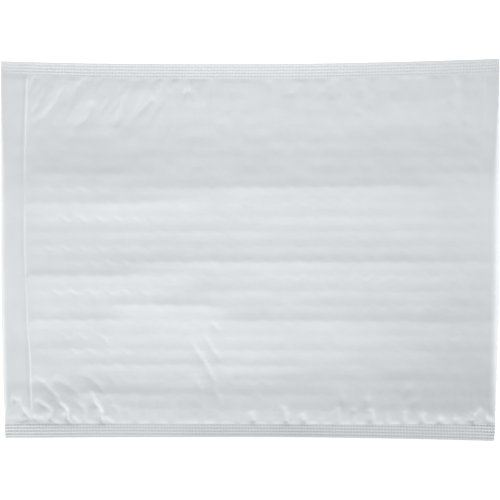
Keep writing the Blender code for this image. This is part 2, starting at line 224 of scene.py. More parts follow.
# Creases pressed in between two rows of bubbles, with the padding swelling up on both sides. A line of
# negative depth is a low ridge
creases = {
    "rowPitch": 10.27,
    "rowOffset": 2.2,
    "rowFan": 0.014,        # the rows spread by this share from the middle to the closed end
    "soft": 1.3,            # the bottoms are rounded by this much
    "unlinedSoft": 7.0,     # and by so much more where there is no film under the paper
    "wobble": 0.35,
    "drift": 0.7,
    "scallop": 0.45,        # how far the lines wave with the bubbles
    "faint": 0.10,          # depth of the faint creases between all rows
    "faintReach": 3.6,
    "faintWobble": 0.4,
    "faintPatches": 0.9,    # how far they come and go along a row
    "faintFrom": 88.0,      # y above which they die out
    "uneven": 0.18,         # how unevenly deep the creases of the list are
    "calmEnd": (122.0, 24.0, 0.35),  # all lose a share of their depth from this x on, over this length
    # each line as stations of (x, row, depth, reach towards +Y, reach towards -Y)
    "lines": (
        ((-162, 5, 0.00, 9, 10), (-152, 5, 0.50, 9, 10), (-76, 5, 0.50, 9, 10), (-60, 5, 0.00, 9, 10)),
        ((-100, 4, 0.00, 8, 12), (-52, 4, 0.60, 8, 12), (-20, 4, 0.95, 8, 12), (120, 4, 0.95, 8, 12),
         (142, 4, 0.00, 8, 12)),
        ((-168, 3, 0.00, 10, 16), (-146, 3, 0.85, 10, 16), (-78, 3, 0.95, 10, 16), (-46, 3.3, 0.50, 9, 14),
         (-14, 3.6, 0.00, 8, 12)),
        ((112, 5, 0.00, 8, 10), (134, 5, 0.35, 8, 10), (160, 5, 0.35, 8, 10), (180, 5, 0.00, 8, 10)),
        ((86, 9.6, 0.00, 4, 9), (98, 9.6, 0.42, 4, 9), (124, 9.7, 0.36, 4, 9), (142, 9.8, 0.15, 4, 9),
         (164, 9.8, 0.00, 4, 9)),
        ((70, 8.2, 0.00, 11, 6), (96, 8.2, -0.34, 11, 6), (148, 8.2, -0.34, 11, 6), (164, 8.2, 0.00, 11, 6)),
        ((100, 6, 0.00, 5, 5), (126, 6, 0.24, 5, 5), (146, 6, 0.24, 5, 5), (160, 6, 0.00, 5, 5)),
        ((-164, 8.3, 0.00, 12, 6), (-150, 8.3, -0.28, 12, 6), (-80, 8.3, -0.26, 12, 6),
         (-30, 8.3, 0.00, 12, 6)),
        ((-118, 6.1, 0.00, 6, 9), (-92, 6.1, 0.26, 6, 9), (-24, 6.1, 0.26, 6, 9), (6, 6.1, 0.00, 6, 9)),
        ((4, 7, 0.00, 5, 5), (20, 7, 0.16, 5, 5), (92, 7, 0.16, 5, 5), (108, 7, 0.00, 5, 5)),
        ((-15, 2, 0.00, 6, 4.5), (7, 2, 0.20, 6, 4.5), (160, 2, 0.20, 6, 4.5), (180, 2, 0.00, 6, 4.5)),
        ((-162, 1, 0.00, 6, 6), (-140, 1, 0.22, 6, 6), (-30, 1, 0.20, 6, 6),
         (20, 1, 0.12, 6, 6), (160, 1, 0.12, 6, 6), (180, 1, 0.00, 6, 6)),
        ((-110, 0, 0.00, 5, 6), (-88, 0, 0.14, 5, 6), (-20, 0, 0.12, 5, 6),
         (20, 0, 0.08, 5, 6), (160, 0, 0.08, 5, 6), (180, 0, 0.00, 5, 6)),
        ((-165, -2, 0.00, 8, 22), (-143, -2, 1.25, 8, 22), (-90, -2, 1.15, 8, 20), (-62, -1.8, 0.50, 7, 18),
         (-35, -1.6, 0.00, 6, 14)),
        ((-112, -1.1, 0.00, 6, 13), (-66, -1.1, 0.75, 6, 13), (-38, -1.1, 1.00, 6, 13),
         (30, -1.1, 0.85, 6, 13), (160, -1.1, 0.85, 6, 13), (180, -1.1, 0.00, 6, 13)),
        ((-45, -3, 0.00, 6, 14), (-23, -3, 0.30, 6, 14), (156, -3, 0.30, 6, 14), (178, -3, 0.00, 6, 14)),
        ((-104, -4, 0.00, 6, 9), (-82, -4, 1.05, 6, 9), (-36, -4, 0.90, 6, 10), (-6, -4.3, 0.00, 6, 12)),
        ((-34, -5.05, 0.00, 8, 18), (10, -5.05, 0.72, 8, 18), (156, -5.05, 0.68, 8, 19),
         (178, -5.05, 0.00, 8, 19)),
        ((10, -4, 0.00, 6, 6), (32, -4, 0.13, 6, 6), (153, -4, 0.13, 6, 6), (175, -4, 0.00, 6, 6)),
        ((-165, -5, 0.00, 7, 20), (-143, -5, 0.80, 7, 20), (-97, -5, 0.75, 7, 20), (-75, -5, 0.00, 7, 20)),
        ((-150, -7, 0.00, 6, 6), (-128, -7, 0.22, 6, 6), (60, -7, 0.22, 6, 6), (90, -7, 0.20, 6, 7),
         (153, -7, 0.10, 6, 6), (175, -7, 0.00, 6, 6)),
        ((-130, -8, 0.00, 6, 8), (-108, -8, 0.55, 6, 8), (-45, -8, 0.55, 6, 8), (-22, -8, 0.15, 6, 8),
         (16, -8, 0.35, 6, 7), (48, -8, 0.00, 6, 7)),
        ((35, -9, 0.00, 6, 6), (57, -9, 0.20, 6, 6), (95, -9, 0.12, 6, 6), (130, -9, 0.00, 6, 6)),
        ((-130, -10, 0.00, 6, 8), (-108, -10, 0.25, 6, 8), (38, -10, 0.25, 6, 8), (60, -10, 0.00, 6, 8)),
    ),
}


# Distance between two rows of bubbles
def rowPitchAt(x):
    return creases["rowPitch"] * (1 + creases["rowFan"] * x / outline["halfLength"])


# Y of a gap between two rows
def rowAt(row, x):
    return creases["rowOffset"] + row * rowPitchAt(x)


# The other way round: the row number at a place, whole on the gaps
def rowNumberAt(x, y):
    return (y - creases["rowOffset"]) / rowPitchAt(x)


# A rounded crease at v = 0: it falls off exponentially to both sides. Extra rounding leaves its flanks
def cusp(v, above, below, soft, extra=0.0):
    return np.exp((soft - np.hypot(v, soft + extra)) / np.where(v > 0, above, below))


# Wave of a gap line between the bubbles on both of its sides
def scallop(row, x):
    return np.cos(2 * np.pi * ((x - bubbles["phase"]) / bubbles["pitch"] - 0.5 * (row % 2)))


# The values of a crease at x: S-curves from station to station
def alongStations(stations, x):
    values = np.broadcast_to(np.array(stations[0][1:], float), x.shape + (4,))
    for before, after in zip(stations[:-1], stations[1:]):
        passed = smooth((x - before[0]) / (after[0] - before[0]))[..., None]
        values = values + passed * (np.array(after[1:], float) - np.array(before[1:], float))
    return np.moveaxis(values, -1, 0)


# Depth of all creases, the faint ones between all rows and the deeper ones of the list
def creaseDepth(x, y):
    number = rowNumberAt(x, y)
    row = np.round(number)
    v = (number - row) * creases["rowPitch"] + creases["faintWobble"] * mottle(x / 9, row, 14)
    v = v - creases["scallop"] * scallop(row, x)
    patchy = np.clip(1 + creases["faintPatches"] * mottle(x / 24, row * 1.37, 15), 0.15, 2)
    patchy = patchy * (0.3 + 0.7 * smooth((creases["faintFrom"] - y) / 40))
    beyond = 1 - smooth((x - edgeLine(y)) / 5 + 0.3)
    patchy = patchy * (1 - beyond)
    depth = creases["faint"] * patchy * cusp(v, creases["faintReach"], creases["faintReach"], 0.7)
    for n, stations in enumerate(creases["lines"]):
        row, full, above, below = alongStations(stations, x)
        line = rowAt(row, x) + creases["scallop"] * scallop(row, x)
        line = line + creases["wobble"] * mottle(x / 11, 0 * x, 40 + n)
        line = line + creases["drift"] * mottle(x / 47, 0 * x, 70 + n)
        uneven = 1 + creases["uneven"] * mottle(x / 19, 0 * x, 100 + n)
        extra = creases["unlinedSoft"] * beyond
        depth = depth + full * uneven * cusp(y - line, above, below, creases["soft"], extra)
    start, run, loss = creases["calmEnd"]
    return depth * (1 - loss * smooth((x - start) / run))


# What the bubbles press through the paper
bubbles = {
    "pitch": 12.04,
    "phase": -164.1,        # x of a gap between two bubbles on the even rows
    "dome": 0.08,
    "domeRadius": 5.2,
    "margin": 6.0,
    "rimDrop": 1.3,         # a row's upper rims run this far under the gap line
    "rimArc": 1.6,          # and wave by this much, round the bubbles
    "rimShift": 3.0,
    "rimSoft": 0.3,
    "rimAbove": 1.0,        # they fall off steeply towards +Y and gently towards -Y
    "rimBelow": 4.0,
    "lean": 0.5,            # one shoulder of each rim stands out more, away from mid-length
    "faintRim": 0.06,
    "faintFrom": 55.0,      # y above which the faint rims die out
    # the clearer rims, as (row, start, end, height)
    "rims": (
        (2, -145, -62, 0.15), (-3, -150, -59, 0.15), (-6, -138, -101, 0.16), (0, -150, -85, 0.09),
        (4, -152, -110, 0.08), (-1, -132, -62, 0.08), (-2, 0, 153, 0.09), (3, 13, 84, 0.08),
        (-6, 126, 152, 0.15), (-4, 60, 150, 0.07), (-7, -130, -70, 0.08),
    ),
}


# A row of bubbles' upper rims: arcs side by side, each with a steep and a gentle flank
def rims(x, y, row):
    turn = 2 * np.pi * ((x - bubbles["phase"] + bubbles["rimShift"]) / bubbles["pitch"] - 0.5 * (row % 2))
    line = rowAt(row, x) - bubbles["rimDrop"] + bubbles["rimArc"] * np.cos(turn)
    line = line + 0.35 * mottle(x / 7, row * 1.31, 10)
    lean = 1 + bubbles["lean"] * np.tanh(-x / 40) * np.sin(turn)
    return lean * cusp(y - line, bubbles["rimAbove"], bubbles["rimBelow"], bubbles["rimSoft"])


# Shallow domes on a triangular lattice, faint rims on all rows and clearer ones in places
def bubbleRelief(x, y):
    pitch = bubbles["pitch"]
    rowNumber = rowNumberAt(x, y)
    low = np.floor(rowNumber)
    across = (x - bubbles["phase"]) / pitch - 0.5 * (low % 2)
    cx = (across - np.round(across)) * pitch
    cy = (rowNumber - low - 0.5) * creases["rowPitch"]
    dome = np.clip(1 - (cx * cx + cy * cy) / bubbles["domeRadius"] ** 2, 0, 1) ** 2
    relief = bubbles["dome"] * (0.6 + 0.5 * mottle(x / 25, y / 21, 9)) * dome
    patchy = np.clip(mottle(x / 17, low * 1.7, 8) + 0.4, 0, 1.4) * smooth((bubbles["faintFrom"] - y) / 15)
    relief = relief + bubbles["faintRim"] * patchy * rims(x, y, np.ceil(rowNumber - 0.15))
    for row, start, end, height in bubbles["rims"]:
        strength = height * smooth((x - start) / 12) * smooth((end - x) / 12)
        relief = relief + strength * (1 + 0.4 * mottle(x / 13, row * 1.9, 11)) * rims(x, y, row)
    return relief


# The cut edge of the bubble film, seen through the paper: a step up onto it, with a furrow before it
liningEdge = {
    # pixels (column, row) of the photograph along it
    "places": ((26.5, 78), (26, 100), (25, 130), (24, 160), (24, 230), (24.5, 260), (25, 278), (26, 300),
               (27, 325), (28, 335), (29, 348), (30, 368), (30.5, 388), (31, 410)),
    "shift": 0.35,          # the line that shows lies this far on the mouth's side of the edge
    "step": (0.36, 0.04),   # its height in the middle, and how much more towards -Y
    "stepRun": 1.1,
    "round": 0.12,          # the paper rounds over onto the film by this much
    "roundRun": 3.5,
    "furrow": 0.21,
    "furrowAt": 1.5,
    "furrowReach": 1.1,
    "breaks": ((46.5, 5.5), (36.0, 5.0), (6.5, 2.5), (-19.0, 1.5), (-53.5, 1.5)),  # (y, half length)
    "upperFade": 4.0,       # it fades over these distances to the seams
    "lowerFade": 12.0,
}


# X of the edge, by straight runs between its places, plus the shift
def edgeLine(y):
    columns, rows = np.array(liningEdge["places"], float)[::-1].T
    edgeX, edgeY = fromPicture(columns, rows)
    return np.interp(y, edgeY, edgeX + liningEdge["shift"])


# Height lost left of the film's edge. The breaks make its step longer and shallower
def liningStep(x, y):
    d = x - edgeLine(y)
    kept = 1.0
    for place, half in liningEdge["breaks"]:
        kept = kept * (1 - np.exp(-((y - place) / half) ** 2))
    run = liningEdge["stepRun"] * (3 - 2 * kept)
    step = growing(liningEdge["step"], -y, 20.0, 40.0)
    lost = step * (1 - smooth(d / run + 0.5)) + liningEdge["round"] * (1 - smooth(d / liningEdge["roundRun"]))
    furrow = np.exp(-((d + liningEdge["furrowAt"]) / liningEdge["furrowReach"]) ** 2)
    return -lost * np.exp(np.minimum(d, 0) / 30) - liningEdge["furrow"] * furrow


# Wrinkles, as (points of (column, row, height) along the lit side, reach on the shaded side and on the
# lit one, strength that the heights are multiplied by). Their places were noted on the photograph,
# and the rest was tuned to its light and shade
wrinkles = {
    "soft": 0.35,
    "litShift": 0.7,        # the crest lies this share of the lit reach beside the points
    "lean": 0.35,           # how far the lit side, which is the one towards +Y, leans along X
    "rootShare": 0.60,      # share of the height that is left where they run into the lower seam
    "upperFade": 1.5,       # they fade over these distances to the seams
    "lowerFade": 2.5,
    # those that lean towards +X
    "towardsClosed": (
        # at the corner of the mouth and the lower seam
        (((10.4, 396, 0), (13, 396.4, 0.6), (19, 398.6, 1.0), (21.6, 404.5, 1.3), (24.8, 410, 1.5),
          (28.6, 414, 0.87), (31, 416.5, 0.5), (31.5, 421.3, 0.2)), 4.0, 2.1, 1.1),
        (((16, 417.5, 0), (20.8, 420, 0.35), (27.2, 418.5, 0.3)), 1.4, 0.95, 1.25),
        (((31.5, 413.5, 0.1), (35, 416.8, 0.55), (39, 420.5, 0.35)), 1.6, 1.05, 1.25),
        (((38.5, 415, 0.1), (41.5, 417.6, 0.55), (45.5, 420.8, 0.35)), 1.6, 1.05, 1.25),
        (((35, 397.3, 0), (38.5, 400, 0.5), (44, 403.7, 0.75), (48.6, 406.6, 0.9), (50.9, 410.5, 0.9),
          (50.5, 416.5, 1.0), (52.9, 419.7, 0.6), (57.5, 421.8, 0.3)), 3.5, 1.05, 1.25),
        (((34.5, 372, 0), (39.3, 376.4, 0.6), (44.9, 379.8, 0.9), (48, 384.4, 0.9), (52, 388.4, 1.0),
          (57.2, 393.4, 0.9), (60.8, 399, 0.3), (62, 405, 0)), 6.5, 2.5, 1.05),
        (((56, 397, 0), (60.3, 402.4, 0.7), (64.1, 405.6, 1.2), (66.9, 409.3, 1.2), (66.5, 414.9, 1.25),
          (68.1, 418.9, 0.87), (72, 421.8, 0.35)), 3.6, 1.05, 1.25),
        (((70.5, 414, 0.1), (73.7, 417.3, 0.6), (78, 421, 0.35)), 1.8, 1.15, 1.25),
        (((53, 373, 0), (57.7, 376.4, 0.8), (64.1, 379.6, 0.7), (70.5, 383.6, 0.8), (76.5, 388.4, 0.7),
          (80, 394, 0.4), (81, 401, 0)), 5.5, 2.6, 0.65),
        (((72, 396.5, 0), (77.5, 400.8, 0.4), (83, 405.3, 0.6), (85, 410, 0.5), (84.9, 418, 0.4),
          (88, 421.8, 0.2)), 2.8, 1.5, 1.05),
        (((88.5, 389, 0), (92.1, 393.5, 0.5), (94, 399, 0.75), (95.4, 402.4, 1.0), (98.6, 406, 1.1),
          (100.6, 410, 1.38), (100.2, 415, 1.13), (102, 419.7, 0.87), (105, 421.8, 0.35)), 3.8, 1.05, 1.25),
        (((103, 415.5, 0.1), (106.6, 418.4, 0.6), (111, 421, 0.3)), 1.8, 1.15, 1.25),
        (((76, 369, 0), (84.9, 372.6, 0.5), (93, 376.8, 0.7), (98.5, 382.3, 0.8), (102.5, 387.5, 0.6),
          (105.5, 393, 0)), 3.8, 2.3, 0.65),
        (((106, 371, 0), (111.5, 377, 0.45), (116.5, 383.5, 0)), 2.2, 1.6, 0.65),
        (((103.5, 393.5, 0), (108, 396.5, 0.35), (113, 400.5, 0)), 2.2, 1.6, 0.65),
        (((109.5, 403.5, 0), (115, 406, 0.45), (118.3, 409.5, 0.45), (118.3, 419, 0.3)), 2.4, 1.3, 1.05),
        (((126, 404, 0), (128, 409, 0.35), (128.5, 420, 0.25)), 2.2, 1.3, 1.05),
        # across the middle
        (((98, 331, 0), (105.2, 338.7, 0.35), (111.7, 351, 0)), 2.0, 1.1, 0.85),
        (((189, 337, 0), (194.2, 345.8, 0.6), (199, 352.5, 0.75), (203.4, 359.6, 0.8), (207.3, 365.4, 0.9),
          (209.2, 371, 0.9), (213.2, 377.7, 0.8), (218.5, 380.6, 0)), 2.6, 1.1, 0.85),
        (((213.5, 379, 0), (215, 389.7, 0.5), (219.6, 396.8, 0.55), (221, 404.5, 0.55), (219, 411.5, 0.45),
          (221, 421, 0.2)), 2.6, 1.3, 0.85),
        (((201.5, 332, 0), (208, 339.8, 0.5), (211.8, 347.5, 0.75), (216, 352, 0.75), (219, 357, 0.4),
          (220.8, 362, 0)), 2.4, 1.1, 0.85),
        (((209.5, 318.5, 0), (213, 323, 0.5), (217.2, 327.6, 0.5), (220.5, 331.5, 0)), 2.2, 1.2, 0.85),
        (((194, 371, 0), (197.7, 381.3, 0.45), (200.9, 388, 0.45), (201.3, 397.5, 0.4),
          (203.4, 407.3, 0.45), (203, 419, 0.2)), 2.2, 1.4, 0.85),
        (((193, 389, 0), (195, 398.2, 0.3), (197, 406, 0)), 1.8, 1.4, 0.85),
        (((227, 367, 0), (229.4, 376.3, 0.3), (232.5, 384, 0)), 2.2, 1.5, 0.85),
        (((237.5, 394, 0), (236.5, 408, 0.35), (236, 419.5, 0.3)), 1.8, 1.4, 0.85),
        (((255, 389, 0), (257.5, 393.5, 0.35), (260, 398.5, 0)), 1.8, 1.3, 0.85),
        (((7.5, 285.6, 0), (12, 306, 0.4), (18, 330, 0.5), (26.7, 354, 0)), 1.6, 2.4, 1.0),
        (((340.3, 388, 0), (343, 396, 0.35), (342.7, 408, 0)), 2.0, 1.4, 0.85),
        (((368.6, 388, 0), (366, 399, 0.4), (364.5, 411, 0)), 2.0, 1.4, 0.85),
        # puckers at the lower seam
        (((251.2, 409, 0), (251.8, 413, 0.6), (252.6, 418.2, 0.8), (254.8, 421.6, 0.4)), 2.4, 1.5, 1.0),
        (((280, 403.5, 0), (284, 407.4, 0.8), (285.7, 413.4, 1.0), (285.9, 419, 0.9),
          (288, 421.8, 0.4)), 2.4, 1.4, 1.0),
        (((301, 411, 0), (302.2, 415, 0.6), (303.9, 418.4, 0.7), (306.5, 421.6, 0.3)), 2.4, 1.5, 1.0),
        (((341.5, 392, 0), (342.3, 398, 0.4), (343, 406, 0)), 2.2, 1.5, 0.55),
        (((366, 407.5, 0), (370.8, 410, 0.9), (372.6, 415.8, 0.7), (373.6, 421.6, 0.4)), 2.4, 1.4, 1.0),
        (((350.5, 407.3, 0), (353.5, 408.8, 0.6), (356.5, 411.5, 0)), 2.0, 1.3, 1.0),
        (((135, 392, 0), (135.5, 402, 0.3), (135, 420, 0.35)), 2.2, 1.4, 1.0),
        (((151, 394, 0), (151.4, 405, 0.3), (151, 420, 0.35)), 2.2, 1.4, 1.0),
        (((160, 394, 0), (161, 405, 0.3), (160.5, 420, 0.35)), 2.2, 1.4, 1.0),
        (((174, 398, 0), (174.5, 408, 0.3), (175, 420, 0.3)), 2.2, 1.4, 1.0),
    ),
    # and towards -X
    "towardsMouth": (
        # puckers at the lower seam
        (((340.5, 406.5, 0), (335.5, 408.6, 0.6), (333.3, 413.4, 0.6), (331.7, 420.5, 0.4)), 2.4, 1.5, 1.0),
        (((366.8, 392, 0), (366, 398, 0.5), (364.6, 407.5, 0)), 2.2, 1.5, 0.55),
        (((369, 412, 0), (367.8, 417, 0.6), (366, 421.2, 0.3)), 2.2, 1.4, 1.0),
        (((409, 409, 0), (402.8, 412.2, 0.6), (401.6, 417, 0.6), (401.4, 422, 0.3)), 2.4, 1.5, 1.0),
        (((426, 411.5, 0), (420.8, 415.6, 0.7), (419.3, 420.5, 0.5)), 2.2, 1.4, 1.0),
        (((443.5, 414.5, 0), (440, 419.2, 0.9), (436, 422.4, 0.5)), 2.2, 1.4, 1.0),
        (((458.3, 414.5, 0), (457, 419, 0.5), (456, 422, 0.3)), 2.0, 1.4, 1.0),
        (((482.5, 406.8, 0), (478.5, 410.5, 0.9), (474.6, 414.8, 1.3), (472.4, 419.5, 1.3),
          (472.8, 422.2, 0.7)), 2.6, 1.4, 1.0),
        (((491, 415.5, 0), (489.3, 419.5, 0.9), (487.6, 422.5, 0.7)), 2.2, 1.4, 1.0),
        (((421, 393, 0), (414, 399, 0.4), (407, 405, 0)), 3.0, 1.8, 1.0),
        (((414, 378, 0), (407, 387, 0.35), (399, 397, 0)), 3.0, 1.8, 1.0),
        # soft streaks under the upper seam
        (((65.5, 83, 0), (63.3, 87.6, 0.8), (56.9, 98.7, 1.2), (51.2, 104.3, 1.3), (44.8, 112.4, 1.3),
          (41, 121, 0)), 3.4, 1.8, 0.37),
        (((40.5, 100.5, 0), (37.3, 105, 1.0), (31, 111, 0.6), (28.5, 114, 0)), 2.4, 1.6, 0.37),
        (((43, 111, 0), (38, 117, 0.8), (33.8, 121.6, 0.4), (31, 124, 0)), 2.8, 2.4, 0.37),
        (((46, 77, 0), (44, 80, 0.4), (42, 86, 0)), 2.4, 1.6, 0.37),
        (((88, 98, 0), (91, 104, 0.9), (89, 110, 1.0), (84.6, 117, 1.0), (75.4, 124, 0.4),
          (71, 128, 0)), 3.4, 2.0, 0.7),
        (((125, 92, 0), (122.5, 100, 0.8), (119.5, 112, 0.8), (117, 118, 0.9), (111.2, 124, 0)
          ), 3.0, 1.8, 0.7),
        (((153.5, 94, 0), (150, 98, 1.2), (142.3, 106.6, 0.9), (135.4, 113.5, 0.6), (130, 120, 0)
          ), 3.0, 1.8, 0.7),
        (((79, 80, 0), (77, 84, 0.6), (74, 91, 0)), 2.4, 1.6, 0.7),
        (((170.5, 87, 0), (167, 91, 0.9), (158.5, 104.3, 1.0), (153.8, 111.2, 0.7), (149, 118, 0)
          ), 3.6, 2.0, 0.62),
        (((191, 85.5, 0), (188, 88.5, 1.1), (183.8, 91, 1.2), (180.4, 98.5, 0.5), (178, 104, 0)
          ), 3.0, 2.0, 0.62),
        (((231, 82, 0), (231.5, 90, 0.6), (232, 98, 0)), 3.4, 2.4, 0.62),
        (((222, 101, 0), (226, 108, 0.5), (229, 113, 0)), 3.0, 2.0, 0.62),
        (((225, 114, 0), (220, 121, 0.55), (214, 126, 0)), 3.0, 2.0, 0.62),
        (((249.2, 81, 0), (249.2, 88, 0.6), (249.2, 99, 0.6), (248.5, 106, 0)), 3.0, 2.0, 0.46),
        (((242, 96, 0), (239.5, 105, 0.8), (237, 114, 0.8), (234.5, 124, 0)), 4.0, 3.0, 0.46),
        (((300, 79, 0), (296.5, 84, 0.6), (293.5, 91, 0.9), (286, 91.5, 0.8), (279, 93, 0)
          ), 3.0, 2.0, 0.46),
        (((322.5, 84.5, 0), (320.5, 89, 1.0), (316.5, 95, 0.6), (315, 99, 0)), 2.5, 2.0, 0.46),
        (((328.5, 79.5, 0.2), (329, 83, 1.1), (330.2, 94, 1.1), (331, 98, 0)), 2.8, 2.0, 0.46),
        (((303, 107.3, 0), (307, 106.3, 0.4), (318, 106.6, 0.4), (323, 107, 0)), 3.4, 2.4, 0.46),
        (((341, 87.5, 0), (339, 89.5, 0.6), (333, 92.5, 0)), 2.5, 2.0, 0.46),
        (((371.5, 90, 0), (370, 95, 0.9), (368, 102, 0.8), (366, 106, 0)), 3.0, 2.2, 0.46),
        (((360, 106, 0), (357, 110, 0.8), (355, 114, 0)), 2.5, 2.0, 0.46),
        (((363, 85, 0), (359, 88, 0.6), (353, 91.5, 0.4), (350, 94, 0)), 2.5, 2.0, 0.46),
        (((249, 116.5, 0), (251.5, 122, 0.5), (255, 129, 0)), 2.5, 2.0, 0.46),
        (((274, 105, 0), (273, 112, 0.4), (272, 120, 0)), 3.0, 2.4, 0.46),
        (((451.5, 75, 0.2), (455, 83, 0.9), (458, 90, 0)), 2.8, 2.0, 0.46),
        (((446, 94, 0), (449, 98.5, 0.6), (453.5, 103, 0.5), (455, 106, 0)), 2.5, 2.0, 0.46),
        (((470, 112, 0), (464, 118, 0.5), (460, 122, 0)), 2.8, 2.2, 0.46),
    ),
}


# Height of one wrinkle: it falls off exponentially from a crooked ridge, faster on the lit side. That
# is the side towards +Y, and for lean > 0 also towards +X
def wrinkle(x, y, lean, points, shaded, lit, strength):
    columns, rows, heights = np.array(points, float).T
    points = np.stack([*fromPicture(columns, rows), strength * heights], -1)
    low, high = points.min(0) - 6 * shaded, points.max(0) + 6 * shaded
    near = (x > low[0]) & (x < high[0]) & (y > low[1]) & (y < high[1])
    px, py = x[near] + wrinkles["litShift"] * lit * lean, y[near] + wrinkles["litShift"] * lit
    best = np.full(px.shape, np.inf)
    height, side = np.zeros(px.shape), np.zeros(px.shape)
    for (ax, ay, start), (rx, ry, rise) in zip(points, np.diff(points, axis=0)):
        t = np.clip(((px - ax) * rx + (py - ay) * ry) / (rx * rx + ry * ry), 0, 1)
        ox, oy = px - ax - t * rx, py - ay - t * ry
        d = np.hypot(ox, oy)
        closer = d < best
        nx, ny = -ry, rx
        if nx * lean + ny < 0:
            nx, ny = -nx, -ny
        best = np.where(closer, d, best)
        side = np.where(closer, np.sign(ox * nx + oy * ny), side)
        height = np.where(closer, start + t * rise, height)
    d = np.hypot(best, wrinkles["soft"]) - wrinkles["soft"]
    out = np.zeros(x.shape)
    out[near] = height * np.exp(-d / np.where(side > 0, lit, shaded))
    return out


# Height of all wrinkles at a place
def foldedAt(x, y):
    x = drawnIn(x, y)
    folded = 0 * x
    for way, lean in (("towardsClosed", wrinkles["lean"]), ("towardsMouth", -wrinkles["lean"])):
        folded = folded + sum(wrinkle(x, y, lean, *line) for line in wrinkles[way])
    return folded


# Gathers beside the seams, where the film is drawn into the crimp
gathers = {
    "pitch": 11.6,
    "phase": 83.2,
    "lowerHeight": 0.45,
    "lowerReach": 8.0,
    "swag": 3.2,            # the hollow at the lower seam starts so much later at each gather
    "upperHeight": 0.34,
    "upperReach": 20.0,
    "upperLean": 0.45,
}


# Gathers along a seam as narrow ridges: by a power of one less the absolute sine of the place
def ridges(x, lean=0.0):
    uneven = 1.3 * mottle(x / 31, 0 * x, 12)
    turn = np.pi * (x - gathers["phase"] + lean + uneven) / gathers["pitch"]
    return (1 - np.abs(np.sin(turn))) ** 1.6


# Height of the gathers, which die out away from the seam
def gather(x, fromUpper, fromLower):
    loose = 0.65 + 0.55 * mottle(x / 15, 0 * x, 13)
    down = gathers["lowerHeight"] * np.exp(-fromLower / gathers["lowerReach"]) * (ridges(x) - 0.3)
    lean = gathers["upperLean"] * fromUpper
    up = gathers["upperHeight"] * np.exp(-fromUpper / gathers["upperReach"]) * (ridges(x, lean) - 0.3)
    return loose * (down + up)


# The paper's own unevenness, between its creases
paperRelief = {
    # soft waves, as (height, how much more in the upper part, length along x, length along y, seed)
    "waves": ((0.22, 0.0, 27, 16, 21), (0.07, 0.08, 9, 6.5, 22), (0.018, 0.0, 3.1, 2.3, 23)),
    "upperStart": 30.0,     # the upper part begins at this y and is full after this distance
    "upperRun": 30.0,
    # streaks down from the upper seam, as (height, width, length, reach from the seam, last x, seed)
    "streaks": ((0.42, 7, 24, 34, 400, 24), (0.17, 3.4, 15, 42, 10, 25)),
    "streakFade": 110.0,    # they die out over this length before their last x
    "slant": 0.7,           # they slant by this much near the mouth
    "slantStart": -70.0,    # and turn straight from this x on, over this length
    "slantRun": 60.0,
    "seamFade": 2.5,        # all fine relief fades towards the seams
    "mouthFade": 8.0,       # and towards the mouth
}


# Height of the unevenness: waves of noise, and noise that is stretched along the streaks
def unevennessAt(x, y, fromUpper, padded):
    upper = smooth((y - paperRelief["upperStart"]) / paperRelief["upperRun"])
    height = 0 * x
    for least, more, alongX, alongY, seed in paperRelief["waves"]:
        height = height + (least + more * upper) * mottle(x / alongX, y / alongY, seed)
    turned = smooth((x - paperRelief["slantStart"]) / paperRelief["slantRun"])
    slant = paperRelief["slant"] * (1 - turned)
    for most, width, length, reach, last, seed in paperRelief["streaks"]:
        streaks = mottle((x - slant * y) / width, x / 60 + y / length, seed)
        faded = smooth((last - x) / paperRelief["streakFade"]) * np.exp(-((fromUpper / reach) ** 2))
        height = height + most * streaks * faded * padded
    return height


# Broad form above the slope between the roots: the shoulder and the crest, the bulge of the pocket, less
# the hollow beside the lower seam, and the swells as bell curves
def formAt(x, y, share, fromUpper, fromLower):
    start = growing(body["crestStart"], x)
    crest = growing(body["crest"], x) * smooth((fromUpper - start) / (body["crestEnd"] - start))
    shoulder = body["shoulder"] * smooth(fromUpper / body["shoulderRun"])
    form = (crest + shoulder) * smooth(fromLower / growing(body["lowerRun"], x))
    full = growing(body["full"], x, body["fullMiddle"], body["fullGrowth"])
    form = form + full * (1 - share**2)
    swag = gathers["swag"] * ridges(drawnIn(x, y))
    inward = np.clip(fromLower - swag, 0, None) / body["hollowAt"]
    hollow = growing(body["hollow"], x, body["hollowMiddle"], body["hollowGrowth"])
    form = form - hollow * inward * np.exp(1 - inward)
    swell = sum(height * np.exp(-((x - sx) / rx) ** 2 - ((y - sy) / ry) ** 2)
                for sx, sy, rx, ry, height in body["swells"])
    return form + swell * smooth(fromUpper / body["swellFade"]) * smooth(fromLower / body["swellFade"])


# Height of the address panel: the slope between the roots, plus the broad form, the fine relief, the
# wrinkles and the step at the film's edge, each faded towards the seams
def panelAt(x, y):
    share, root = shareAt(x, y), rootAt(x, y)
    fromUpper = np.clip(1 - share, 0, None) * reachAt(x)
    fromLower = np.clip(1 + share, 0, None) * reachAt(x)
    form = formAt(x, y, share, fromUpper, fromLower)
    left = wrinkles["rootShare"]
    folded = foldedAt(x, y) * smooth(fromUpper / wrinkles["upperFade"])
    folded = folded * (left + (1 - left) * smooth(fromLower / wrinkles["lowerFade"]))
    x = drawnIn(x, y)
    padded = smooth((x - edgeLine(y)) / bubbles["margin"]) * smooth((closedTangent - x) / bubbles["margin"])
    fine = bubbleRelief(x, y) * padded - creaseDepth(x, y) + gather(x, fromUpper, fromLower) * padded
    fine = fine + unevennessAt(x, y, fromUpper, padded)
    fade = paperRelief["seamFade"]
    edge = smooth(fromUpper / fade) * smooth(fromLower / fade)
    edge = edge * smooth((x + outline["halfLength"]) / paperRelief["mouthFade"])
    wide = smooth(fromUpper / liningEdge["upperFade"]) * smooth(fromLower / liningEdge["lowerFade"])
    return root + form + fine * edge + folded + liningStep(x, y) * wide


